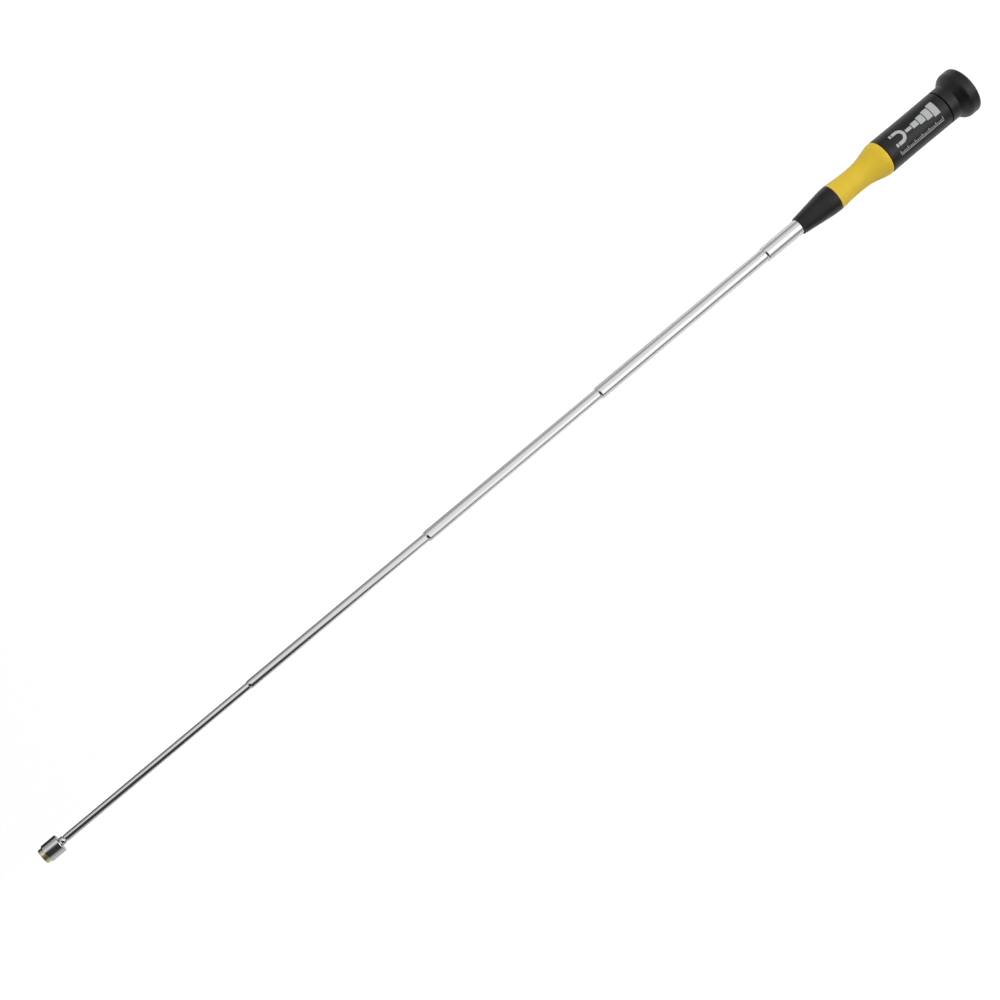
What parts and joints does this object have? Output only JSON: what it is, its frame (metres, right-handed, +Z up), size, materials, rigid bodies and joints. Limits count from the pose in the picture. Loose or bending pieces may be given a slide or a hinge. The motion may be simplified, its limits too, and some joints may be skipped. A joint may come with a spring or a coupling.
{
  "type": "telescoping magnetic pickup tool",
  "caption": "Telescoping pick-up tool: round magnet in a steel cup on a mast of sliding tubes, tapered grip handle, free-turning flanged end cap.",
  "frame": {"origin": "centre of the magnet's flat working face, with the mast pulled out to its full length", "axes": "+X runs from the magnet back along the mast to the flat end of the handle; +Z is up as the tool lies on a bench"},
  "size_m": [0.65, 0.0286, 0.0286],
  "materials": {
    "chrome": "bright chrome plating on drawn steel tube",
    "magnet_plating": "gold-coloured plating, slightly worn",
    "brass_bush": "as turned",
    "spring_bronze": "rolled strip",
    "spring_steel": "blackened spring steel",
    "black_plastic": "moulded, satin",
    "yellow_grip": "soft-touch, matte",
    "nylon": "natural, moulded"
  },
  "bodies": {
    "handle": {"tube_1": "chrome", "nose_cone": "black_plastic", "grip_sleeve": "yellow_grip", "handle_barrel": "black_plastic", "rear_plug": "nylon", "thrust_washer": "nylon", "retaining_clip": "spring_steel"},
    "cap": {"swivel_cap": "black_plastic", "cap_end_disc": "black_plastic"},
    "section_2": {"tube_2": "chrome", "end_bush_2": "brass_bush", "friction_sleeve_2": "spring_bronze"},
    "section_3": {"tube_3": "chrome", "end_bush_3": "brass_bush", "friction_sleeve_3": "spring_bronze"},
    "section_4": {"tube_4": "chrome", "end_bush_4": "brass_bush", "friction_sleeve_4": "spring_bronze"},
    "section_5": {"tube_5": "chrome", "end_bush_5": "brass_bush", "friction_sleeve_5": "spring_bronze", "head_stud": "chrome", "magnet_cup": "chrome", "magnet": "magnet_plating"}
  },
  "joints": [
    {"name": "slide_2", "type": "slide", "parent": "handle", "child": "section_2", "axis": [1, 0, 0], "range_m": [0, 0.1172]},
    {"name": "slide_3", "type": "slide", "parent": "section_2", "child": "section_3", "axis": [1, 0, 0], "range_m": [0, 0.1172]},
    {"name": "slide_4", "type": "slide", "parent": "section_3", "child": "section_4", "axis": [1, 0, 0], "range_m": [0, 0.1172]},
    {"name": "slide_5", "type": "slide", "parent": "section_4", "child": "section_5", "axis": [1, 0, 0], "range_m": [0, 0.1172]},
    {"name": "cap_turn", "type": "hinge", "parent": "handle", "child": "cap", "pos_m": [0.64, 0, 0], "axis": [1, 0, 0], "continuous": true}
  ]
}
